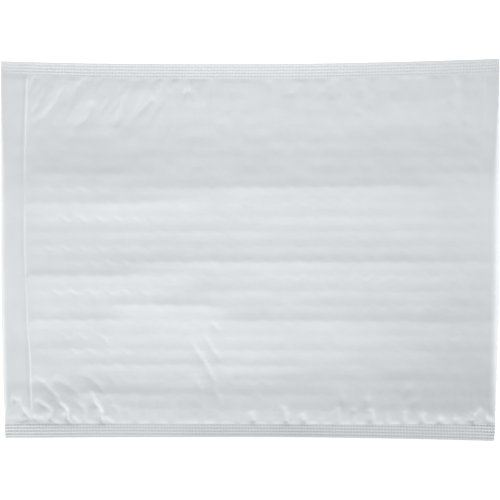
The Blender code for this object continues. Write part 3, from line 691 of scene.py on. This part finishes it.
# Draws in the ends of a grid of points
def placeEnds(points):
    points[..., 0] = drawnIn(points[..., 0], points[..., 1])
    return points


# How far a fold rounds over: fully in the middle, and as little as a seam does at the seams' roots
def foldDepth(share, full):
    upper, lower = outline["foldBlend"]
    inside = smooth((1 - share) / upper) * smooth((1 + share) / lower)
    return outline["seamFold"] + (full - outline["seamFold"]) * inside


# X where the flat panels go over into the fold at the mouth
def mouthStart(share):
    return -outline["halfLength"] + foldDepth(share, outline["mouthFold"])


# And at the closed fold
def closedStart(share):
    return outline["halfLength"] - foldDepth(share, outline["closedFold"])


# A column of points round a fold: half an ellipse from its upper to its lower end, outside in
def foldRows(x0, direction, depth, y, high, low, angles):
    turn = angles[:, None]
    x = x0 + direction * depth * np.sin(turn) + 0 * y
    z = (high + low) / 2 + (high - low) / 2 * np.cos(turn)
    return np.stack([x, y + 0 * x, z], -1)


# Puts a grid of outer points and a coarser one of inner points into a closed slab of a piece
def closedSlab(name, outer, inner, strides, upwards=True):
    rows, columns = outer.shape[:2]
    innerRows, innerColumns = inner.shape[:2]
    points = np.concatenate([outer.reshape(-1, 3), inner.reshape(-1, 3)]) * mm

    def quads(start, m, n):
        i, j = np.meshgrid(np.arange(m - 1), np.arange(n - 1), indexing="ij")
        a = start + i * n + j
        return np.stack([a, a + n, a + n + 1, a + 1], -1).reshape(-1, 4)

    def wall(fine, coarse, stride):
        first = np.arange(len(coarse) - 1)
        runs = [fine[first * stride + k] for k in range(stride + 1)]
        return np.stack(runs + [coarse[1:], coarse[:-1]], -1)

    base = rows * columns
    top = np.arange(base).reshape(rows, columns)
    low = base + np.arange(innerRows * innerColumns).reshape(innerRows, innerColumns)
    faces = quads(0, rows, columns).tolist() + quads(base, innerRows, innerColumns)[:, ::-1].tolist()
    faces += wall(top[:, -1], low[:, -1], strides[0]).tolist()
    faces += wall(top[::-1, 0], low[::-1, 0], strides[0]).tolist()
    faces += wall(top[0], low[0], strides[1]).tolist()
    faces += wall(top[-1, ::-1], low[-1, ::-1], strides[1]).tolist()
    if not upwards:
        faces = [face[::-1] for face in faces]
    return makePiece(name, points, faces)


# Makes an object of points in metres and faces, smooth but for edges of more than sharpAngle degrees
def makePiece(name, points, faces, sharpAngle=40):
    mesh = bpy.data.meshes.new(name)
    mesh.from_pydata(points.tolist(), [], faces)
    mesh.update()
    mesh.shade_smooth()
    mesh.set_sharp_from_angle(angle=math.radians(sharpAngle))
    piece = bpy.data.objects.new(name, mesh)
    bpy.context.scene.collection.objects.link(piece)
    return piece


# How many points divide a length evenly at about this spacing, in a number of steps that stride divides
def evenCount(length, spacing, stride):
    return max(1, round(length / spacing / stride)) * stride + 1


# The address panel with both end folds, from seam root to seam root
addressPanel = {
    # (x, spacing along X as far as there): closer where the wrinkles are
    "zones": ((-160.0, 0.7), (-149.0, 0.35), (-97.0, 0.75), (145.0, 1.25), (None, 0.7)),
    "across": 0.95,
    "stride": 4,
}


# A grid of x and share, at the height panelAt. The first and the last zone are stretched to where each
# fold begins at that share, and half ellipses carry it round both folds
def makeAddressPanel():
    stride = addressPanel["stride"]
    places = [np.array([mouthTangent])]
    for end, spacing in addressPanel["zones"]:
        start, end = places[-1][-1], closedTangent if end is None else end
        places.append(np.linspace(start, end, evenCount(end - start, spacing, stride))[1:])
    x = np.concatenate(places)[:, None]
    zoneStart, zoneEnd = addressPanel["zones"][0][0], addressPanel["zones"][2][0]
    width = 2 * reachAt(outline["halfLength"])
    share = np.linspace(-1, 1, evenCount(width, addressPanel["across"], stride))[None, :]
    first, last = mouthStart(share), closedStart(share)
    x = x + (first - mouthTangent) * np.clip((zoneStart - x) / (zoneStart - mouthTangent), 0, 1)
    x = x + (last - closedTangent) * np.clip((x - zoneEnd) / (closedTangent - zoneEnd), 0, 1)
    y = acrossPocket(x, share)
    z = panelAt(x, y)
    down = np.linspace(0, np.pi, 3 * stride + 1)[1:]
    panel = np.stack([x, y, z], -1)
    low = undersideAt(x[-1], y[-1])
    mouthDepth, closedDepth = first[0] + outline["halfLength"], foldDepth(share, outline["closedFold"])[0]
    mouth = foldRows(x[0], -1, mouthDepth, y[0], z[0], 0.0, down[::-1])
    closed = foldRows(x[-1], 1, closedDepth, y[-1], z[-1], low, down)
    outer = np.concatenate([mouth, panel, closed])
    paper = outline["paper"]
    few = slice(None, None, stride)
    inPanel = panel[few, few] - [0, 0, paper]
    inMouth = foldRows(x[0, few], -1, mouthDepth[few] - paper, y[0, few], z[0, few] - paper, paper,
                       down[::-1][few])
    inClosed = foldRows(x[-1, few], 1, closedDepth[few] - paper, y[-1, few], z[-1, few] - paper,
                        low[few] + paper, down[stride - 1::stride])
    inner = np.concatenate([inMouth, inPanel, inClosed])
    return closedSlab("addressPanel", placeEnds(outer), placeEnds(inner), (stride, stride))


# The crimped seams: a lattice of small points pressed through both papers
seam = {
    "spacing": 0.38,
    "crimpPitch": 2.19,
    "rowPitch": 2.15,
    "upperRow": 2.05,       # from the outer edge to the first row
    "lowerRow": (2.7, -0.3),  # at x = -60, and how much it grows
    "crimpHeights": (0.34, 0.20),  # in the upper and the lower seam
    "firmerEnds": 1.4,      # and by so much more at both ends of the lower seam
    "endReach": 20.0,
    "rowShare": 0.30,       # share of the height that runs on between the points of a row
    "plainEdge": 0.3,
    "shear": 0.08,
    "wave": 0.25,
    "carry": 1.7,           # the wrinkles run this far into the lower seam
    "tilt": (0.30, 0.45),   # how far the upper seam slants down, in mid-length and how much more
}


# Height of the crimp: rows of rounded points, joined within a row by a low ridge
def crimp(x, fromEdge, side):
    along = 0.5 + 0.5 * np.cos(2 * np.pi * (x + seam["shear"] * fromEdge) / seam["crimpPitch"])
    first = seam["upperRow"] if side > 0 else growing(seam["lowerRow"], x, -60.0, 40.0)
    across = 0.5 + 0.5 * np.cos(2 * np.pi * (fromEdge - first) / seam["rowPitch"])
    pressed = smooth((fromEdge - seam["plainEdge"]) / 0.8) * smooth((seamWidth(x, side) - fromEdge) / 0.8)
    uneven = 0.95 + 0.2 * mottle(x / 9, fromEdge / 3, 31)
    if side > 0:
        along = along * smooth((x - mouthEdge) / 2 + 0.9)
    points = seam["rowShare"] + (1 - seam["rowShare"]) * along
    height = seam["crimpHeights"][0 if side > 0 else 1]
    if side < 0:
        towards = np.exp((np.abs(x) - outline["halfLength"]) / seam["endReach"])
        height = height * (1 + seam["firmerEnds"] * towards)
    return height * pressed * uneven * (points * across - 0.3)


# Height of the seam's upper side: level with its root, drooping by a power of the way to the edge
def seamTop(x, fromEdge, side):
    which = "upper" if side > 0 else "lower"
    out = 1 - fromEdge / seamWidth(x, side)
    full = body[which + "Droop"] + 0 * x
    if side < 0:
        full = growing((full, body["lowerDroopGrowth"]), x)
        full = full - body["lowerDroopLift"] * np.exp(-(x + outline["halfLength"]) / 25)
    droop = full * out ** body[which + "DroopPower"]
    wave = seam["wave"] * mottle(x / 33, 0 * x, 33) * out
    if side > 0:
        wave = wave - growing(seam["tilt"], x) * out
    rootY = acrossPocket(x, side)
    height = rootAt(x, rootY) - droop + wave + crimp(x, fromEdge, side)
    if side < 0:
        inside = seamWidth(x, side) - fromEdge
        folded = wrinkles["rootShare"] * foldedAt(x, rootY - inside)
        height = height + folded * np.exp(-((inside / seam["carry"]) ** 2))
    return height


# A grid of x and the way across, at the height seamTop. The underside lies lower by one paper as far as
# the back panel's edge and by the seam's thickness beyond it
def makeSeam(name, side):
    out = np.linspace(0, 1, evenCount(seamWidth(0.0, side), seam["spacing"], 1))[None, ::side]
    first, last = -outline["halfLength"] + outline["seamFold"], outline["halfLength"] - outline["seamFold"]
    single = np.linspace(first, mouthEdge, evenCount(mouthEdge - first, seam["spacing"], 1))
    double = np.linspace(mouthEdge, last, evenCount(last - mouthEdge, seam["spacing"], 1))
    x = np.concatenate([single, double])[:, None]
    fromEdge = seamWidth(x, side) * (1 - out)
    y = middleAt(x) + side * (halfWidthAt(x) - fromEdge)
    z = seamTop(x, fromEdge, side)
    paper = outline["paper"]
    thick = np.full(len(x), body["seamThickness"])
    thick[:len(single)] = paper
    low = z - thick[:, None]
    down = np.linspace(0, np.pi, outline["foldSteps"])[1:]
    half = np.linspace(0, np.pi / 2, outline["foldSteps"] // 2)[1:]
    panel = np.stack([x + 0 * y, y, z], -1)
    under = np.stack([x + 0 * y, y, low], -1)
    fold = outline["seamFold"]
    mouth = foldRows(x[0], -1, fold, y[0], z[0], 0.0, down[::-1])
    inMouth = foldRows(x[0], -1, fold - paper, y[0], z[0] - paper, paper, down[::-1])
    closed = foldRows(x[-1], 1, fold, y[-1], z[-1], low[-1], half)
    inClosed = foldRows(x[-1], 1, fold, y[-1], low[-1], z[-1], half)
    inClosed[-1, :, 2] -= 0.02
    outer = np.concatenate([mouth, panel, closed])
    inner = np.concatenate([inMouth, under, inClosed])
    return closedSlab(name, placeEnds(outer), placeEnds(inner), (1, 1))


# The back panel, between the seam roots, from its edge at the mouth to the closed fold
backPanel = {"along": 2.0, "across": 1.5, "stride": 4}


# A grid of x and share, at the height undersideAt. Its relief is that of the address panel, turned over
# and pressed flat where it would go below the table
def makeBackPanel():
    stride = backPanel["stride"]
    run = np.linspace(0, 1, evenCount(closedTangent - mouthEdge, backPanel["along"], stride))[:, None]
    width = 2 * reachAt(outline["halfLength"])
    share = np.linspace(-1, 1, evenCount(width, backPanel["across"], stride))[None, :]
    x = mouthEdge + run * (closedStart(share) - mouthEdge)
    y = acrossPocket(x, share)
    z = undersideAt(x, y)
    fromUpper, fromLower = (1 - share) * reachAt(x), (1 + share) * reachAt(x)
    edge = smooth(fromUpper / 2.5) * smooth(fromLower / 2.5) * smooth((closedTangent - x) / 6)
    relief = 0.5 * creaseDepth(x, -y) + 0.12 - bubbleRelief(x, -y) + 0.1 * mottle(x / 22, y / 14, 51)
    z = z + edge * np.clip(relief, 0, None)
    outer = np.stack([x, y, z], -1)
    inner = outer[::stride, ::stride] + [0, 0, outline["paper"]]
    return closedSlab("backPanel", placeEnds(outer), placeEnds(inner), (stride, stride), upwards=False)


# The flap, folded under the back panel
flap = {"taper": 7.0, "spacing": 1.6, "corner": 5.0, "stride": 2}


# A grid from the mouth's fold to the flap's edge. It tapers, and its corners round off by a square
def makeFlap():
    stride = flap["stride"]
    run = np.linspace(0, 1, evenCount(flapEdge - mouthTangent, flap["spacing"], stride))[:, None]
    half = halfWidthAt(np.array(mouthTangent))
    share = np.linspace(-1, 1, evenCount(2 * half, flap["spacing"], stride))[None, :]
    first = mouthStart(share * half / reachAt(mouthTangent))
    x = first + run * (flapEdge - first)
    corner = flap["corner"] * np.clip(1 - (flapEdge - x) / flap["corner"], 0, 1) ** 2
    y = share * (half - flap["taper"] * run - corner)
    z = 0.05 * (1 + mottle(x / 19, y / 23, 61)) * smooth((x - mouthTangent) / 5)
    low = np.stack([x, y, z], -1)
    high = low[::stride, ::stride] + [0, 0, outline["paper"]]
    return closedSlab("flap", placeEnds(low), placeEnds(high), (stride, stride), upwards=False)


# The folded web of bubble film inside, open at the mouth
web = {
    "film": 0.35,
    "gap": 0.5,
    "clearance": 0.35,
    "spacing": 1.5,
    "bubbleRadius": 5.3,
    "wallRun": 2.2,
    "end": 1.2,
    "side": 4.5,
    "stride": 4,
}


# Height of the bubbles from 0 to 1: flat-topped cells on a triangular lattice
def cells(x, y):
    pitch = bubbles["pitch"]
    rowNumber = (y - creases["rowOffset"]) / creases["rowPitch"]
    row = np.floor(rowNumber)
    along = (x - bubbles["phase"]) / pitch - np.where(row % 2 == 0, 0.0, 0.5)
    dx = (along - np.round(along)) * pitch
    dy = (rowNumber - row - 0.5) * creases["rowPitch"]
    return smooth((web["bubbleRadius"] - np.hypot(dx, dy)) / web["wallRun"])


# Two films on both sides of the gap in the middle, swelling to the papers where cells is 1, and a bend
# that joins them at the closed fold
def makeBubbleLining():
    stride = web["stride"]
    filmLow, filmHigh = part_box("bubble_lining")
    x0, x1 = filmLow.x / mm, closedTangent - web["end"] - 3
    x = np.linspace(x0, x1, evenCount(x1 - x0, web["spacing"], stride))[:, None]
    width = filmHigh.y - filmLow.y
    share = np.linspace(-1, 1, evenCount(width / mm, web["spacing"], stride))[None, :]
    y = acrossPocket(x, share * (1 - web["side"] / reachAt(x)))
    ceiling = panelAt(x + 0 * y, y) - outline["paper"] - web["clearance"] - 0.2
    ground = undersideAt(x, y) + outline["paper"] + web["clearance"] + 0.6
    middle = (ceiling + ground) / 2
    flat = web["gap"] / 2 + web["film"]
    inside = smooth((1 - np.abs(share)) * 12)
    upper = np.minimum(middle + flat + 0 * y, ceiling)
    lower = np.maximum(middle - flat + 0 * y, ground)
    upper = upper + (ceiling - upper) * cells(x, y) * inside
    lower = lower - (lower - ground) * cells(x, -y) * inside
    top = np.stack([x + 0 * y, y, upper], -1)
    bottom = np.stack([x + 0 * y, y, lower], -1)[::-1]
    angles = np.linspace(0, np.pi, 2 * stride + 1)[1:-1]
    bend = foldRows(x[-1], 1, 3.0, y[-1], upper[-1], lower[-1], angles)
    outer = np.concatenate([top, bend, bottom])
    inTop = np.stack([x + 0 * y, y, middle + web["gap"] / 2 + 0 * y], -1)
    inBottom = np.stack([x + 0 * y, y, middle - web["gap"] / 2 + 0 * y], -1)[::-1]
    inBend = foldRows(x[-1], 1, 2.0, y[-1], inTop[-1, :, 2], inBottom[0, :, 2], angles)
    inner = np.concatenate([inTop, inBend, inBottom])[::stride, ::stride]
    return closedSlab("bubbleLining", placeEnds(outer), placeEnds(inner), (stride, stride))


# A material with its node tree and its shader
def newMaterial(name):
    made = bpy.data.materials.new(name)
    made.use_nodes = True
    return made, made.node_tree, made.node_tree.nodes["Principled BSDF"]


# A node group with the fine tooth and cloudiness of paper, from a point in metres
def makePaperTooth():
    group = bpy.data.node_groups.new("paperTooth", "ShaderNodeTree")
    group.interface.new_socket("Vector", in_out="INPUT", socket_type="NodeSocketVector")
    for name, value in (("Tooth Scale", 900.0), ("Cloud Scale", 60.0), ("Cloud Depth", 0.02)):
        socket = group.interface.new_socket(name, in_out="INPUT", socket_type="NodeSocketFloat")
        socket.default_value = value
    for name in ("Height", "Shade"):
        group.interface.new_socket(name, in_out="OUTPUT", socket_type="NodeSocketFloat")
    nodes, links = group.nodes, group.links
    entry, leave = nodes.new("NodeGroupInput"), nodes.new("NodeGroupOutput")
    tooth, cloud = nodes.new("ShaderNodeTexNoise"), nodes.new("ShaderNodeTexNoise")
    tooth.inputs["Detail"].default_value = 3
    cloud.inputs["Detail"].default_value = 4
    links.new(entry.outputs["Vector"], tooth.inputs["Vector"])
    links.new(entry.outputs["Vector"], cloud.inputs["Vector"])
    links.new(entry.outputs["Tooth Scale"], tooth.inputs["Scale"])
    links.new(entry.outputs["Cloud Scale"], cloud.inputs["Scale"])
    centred, scaled, shade = (nodes.new("ShaderNodeMath") for _ in range(3))
    centred.operation, scaled.operation, shade.operation = "SUBTRACT", "MULTIPLY", "ADD"
    centred.inputs[1].default_value = 0.5
    shade.inputs[1].default_value = 1.0
    links.new(cloud.outputs["Fac"], centred.inputs[0])
    links.new(centred.outputs[0], scaled.inputs[0])
    links.new(entry.outputs["Cloud Depth"], scaled.inputs[1])
    links.new(scaled.outputs[0], shade.inputs[0])
    links.new(tooth.outputs["Fac"], leave.inputs["Height"])
    links.new(shade.outputs[0], leave.inputs["Shade"])
    return group


paperLook = {
    "paper": {"colour": (0.768, 0.800, 0.822), "roughness": 0.62, "toothScale": 700.0,
              "cloudScale": 90.0, "cloudDepth": 0.05, "bump": 0.25, "toothHeight": 0.05},
    "liner": {"colour": (0.86, 0.87, 0.86), "roughness": 0.35, "toothScale": 1500.0,
              "cloudScale": 40.0, "cloudDepth": 0.02, "bump": 0.1, "toothHeight": 0.02},
}


# Paper: the colour times the group's shade, and the group's height as a bump
def makePaper(name, look, tooth):
    made, tree, shader = newMaterial(name)
    nodes, links = tree.nodes, tree.links
    place = nodes.new("ShaderNodeTexCoord")
    grain = nodes.new("ShaderNodeGroup")
    grain.node_tree = tooth
    grain.inputs["Tooth Scale"].default_value = look["toothScale"]
    grain.inputs["Cloud Scale"].default_value = look["cloudScale"]
    grain.inputs["Cloud Depth"].default_value = look["cloudDepth"]
    links.new(place.outputs["Object"], grain.inputs["Vector"])
    tint = nodes.new("ShaderNodeVectorMath")
    tint.operation = "SCALE"
    tint.inputs[0].default_value = look["colour"]
    links.new(grain.outputs["Shade"], tint.inputs["Scale"])
    links.new(tint.outputs["Vector"], shader.inputs["Base Color"])
    bump = nodes.new("ShaderNodeBump")
    bump.inputs["Strength"].default_value = look["bump"]
    bump.inputs["Distance"].default_value = look["toothHeight"] * mm
    links.new(grain.outputs["Height"], bump.inputs["Height"])
    links.new(bump.outputs["Normal"], shader.inputs["Normal"])
    shader.inputs["Roughness"].default_value = look["roughness"]
    return made


filmLook = {"colour": (0.93, 0.95, 0.96, 1), "clearness": 0.9, "refraction": 1.3, "patchScale": 120,
            "roughness": (0.12, 0.3)}


# Clear film, whose roughness goes from the first to the second value with a noise
def makeFilm():
    made, tree, shader = newMaterial("clearFilm")
    noise, spread = tree.nodes.new("ShaderNodeTexNoise"), tree.nodes.new("ShaderNodeMapRange")
    place = tree.nodes.new("ShaderNodeTexCoord")
    tree.links.new(place.outputs["Object"], noise.inputs["Vector"])
    noise.inputs["Scale"].default_value = filmLook["patchScale"]
    spread.inputs["To Min"].default_value, spread.inputs["To Max"].default_value = filmLook["roughness"]
    tree.links.new(noise.outputs["Fac"], spread.inputs["Value"])
    tree.links.new(spread.outputs["Result"], shader.inputs["Roughness"])
    shader.inputs["Base Color"].default_value = filmLook["colour"]
    shader.inputs["Transmission Weight"].default_value = filmLook["clearness"]
    shader.inputs["IOR"].default_value = filmLook["refraction"]
    return made


adhesiveLook = {"colour": (0.83, 0.81, 0.74, 1), "clearness": 0.4, "roughness": 0.25, "rippleScale": 260,
                "rippleHeight": 0.1}


# Adhesive: milky, with ripples of noise as a bump
def makeAdhesive():
    made, tree, shader = newMaterial("clearAdhesive")
    noise, bump = tree.nodes.new("ShaderNodeTexNoise"), tree.nodes.new("ShaderNodeBump")
    place = tree.nodes.new("ShaderNodeTexCoord")
    tree.links.new(place.outputs["Object"], noise.inputs["Vector"])
    noise.inputs["Scale"].default_value = adhesiveLook["rippleScale"]
    bump.inputs["Distance"].default_value = adhesiveLook["rippleHeight"] * mm
    tree.links.new(noise.outputs["Fac"], bump.inputs["Height"])
    tree.links.new(bump.outputs["Normal"], shader.inputs["Normal"])
    shader.inputs["Base Color"].default_value = adhesiveLook["colour"]
    shader.inputs["Roughness"].default_value = adhesiveLook["roughness"]
    shader.inputs["Transmission Weight"].default_value = adhesiveLook["clearness"]
    return made


# Gives a piece its finish, hangs it under the root body and hides the node it stands for
def dress(piece, finish, node):
    piece.data.materials.append(finish)
    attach(piece, "root")
    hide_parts(node)


# The room: a white floor and surroundings, one soft lamp beyond the upper seam, two low ones
room = {
    "cameraHeight": 1.5,
    "world": 0.30,
    "floor": 0.80,
    "floorGlow": 0.80,
    "floorHalf": 3.0,
    "floorDrop": 0.2,       # millimetres, so that it doesn't meet the envelope's underside
    "key": {"place": (0.0, 1.0, 0.70), "aim": (-0.065, -0.64, 0.0), "size": 0.35, "power": 1.47,
            "spread": 50},
    "left": {"place": (-0.90, 0.0, 0.10), "aim": (0.0, 0.0, 0.0), "size": 0.5, "power": 5.2, "spread": 180},
    "right": {"place": (0.90, 0.0, 0.10), "aim": (0.0, 0.0, 0.0), "size": 0.5, "power": 5.8, "spread": 180},
}


# A camera straight above. Its lens shows the seen width at the height of the panel
def makeCamera():
    data = bpy.data.cameras.new("camera")
    camera = bpy.data.objects.new("camera", data)
    bpy.context.scene.collection.objects.link(camera)
    camera.location = (0, 0, room["cameraHeight"])
    data.sensor_width = 36
    data.lens = data.sensor_width * (room["cameraHeight"] - rootAt(0.0, 0.0) * mm) / (picture["seen"] * mm)
    bpy.context.scene.camera = camera


# A square lamp at a place in metres, turned to its aim
def makeLamp(name, place, aim, size, power, spread):
    data = bpy.data.lights.new(name, "AREA")
    data.size = size
    data.energy = power
    data.spread = math.radians(spread)
    lamp = bpy.data.objects.new(name, data)
    bpy.context.scene.collection.objects.link(lamp)
    lamp.location = place
    lamp.rotation_euler = (Vector(aim) - lamp.location).to_track_quat("-Z", "Y").to_euler()


# Whether a ray comes from the camera, a reflection or through glass
def seenRay(tree):
    rays = tree.nodes.new("ShaderNodeLightPath")
    first, second = tree.nodes.new("ShaderNodeMath"), tree.nodes.new("ShaderNodeMath")
    first.operation = second.operation = "MAXIMUM"
    tree.links.new(rays.outputs["Is Camera Ray"], first.inputs[0])
    tree.links.new(rays.outputs["Is Glossy Ray"], first.inputs[1])
    tree.links.new(first.outputs[0], second.inputs[0])
    tree.links.new(rays.outputs["Is Transmission Ray"], second.inputs[1])
    return second.outputs[0]


# White to the camera, and dimmer as a light
def makeWorld():
    world = bpy.data.worlds.new("surroundings")
    bpy.context.scene.world = world
    world.use_nodes = True
    tree = world.node_tree
    background = tree.nodes["Background"]
    background.inputs["Color"].default_value = (1, 1, 1, 1)
    strength = tree.nodes.new("ShaderNodeMix")
    strength.inputs["A"].default_value = room["world"]
    strength.inputs["B"].default_value = 1.0
    tree.links.new(seenRay(tree), strength.inputs["Factor"])
    tree.links.new(strength.outputs["Result"], background.inputs["Strength"])


# A pale floor, which glows a little to the camera and keeps the envelope's shadow
def makeFloor():
    half = room["floorHalf"]
    corners = [(-half, -half, 0), (half, -half, 0), (half, half, 0), (-half, half, 0)]
    mesh = bpy.data.meshes.new("floor")
    mesh.from_pydata(corners, [], [(0, 1, 2, 3)])
    floor = bpy.data.objects.new("floor", mesh)
    bpy.context.scene.collection.objects.link(floor)
    floor.location.z = -room["floorDrop"] * mm
    made, tree, shader = newMaterial("floorPaint")
    shader.inputs["Base Color"].default_value = (room["floor"],) * 3 + (1,)
    shader.inputs["Roughness"].default_value = 1.0
    shader.inputs["Specular IOR Level"].default_value = 0.0
    shader.inputs["Emission Color"].default_value = (1, 1, 1, 1)
    glow = tree.nodes.new("ShaderNodeMath")
    glow.operation = "MULTIPLY"
    glow.inputs[1].default_value = room["floorGlow"]
    tree.links.new(seenRay(tree), glow.inputs[0])
    tree.links.new(glow.outputs[0], shader.inputs["Emission Strength"])
    mesh.materials.append(made)


print("materials")
tooth = makePaperTooth()
paperFinish = makePaper("whitePaper", paperLook["paper"], tooth)
linerFinish = makePaper("releasePaper", paperLook["liner"], tooth)

print("address panel")
dress(makeAddressPanel(), paperFinish, "paper_cover")
print("seams")
dress(makeSeam("upperSeam", 1), paperFinish, "paper_cover")
dress(makeSeam("lowerSeam", -1), paperFinish, "paper_cover")
print("back panel and flap")
dress(makeBackPanel(), paperFinish, "paper_cover")
dress(makeFlap(), paperFinish, "paper_cover")
print("bubble film")
lining = makeBubbleLining()
dress(lining, makeFilm(), "bubble_lining")
for node, finish in (("adhesive_strip", makeAdhesive()), ("release_liner", linerFinish)):
    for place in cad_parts[node].material_slots:
        place.material = finish

print("room")
makeWorld()
makeFloor()
for name in ("key", "left", "right"):
    makeLamp(name, **room[name])
makeCamera()
bpy.context.scene.view_settings.view_transform = "Standard"
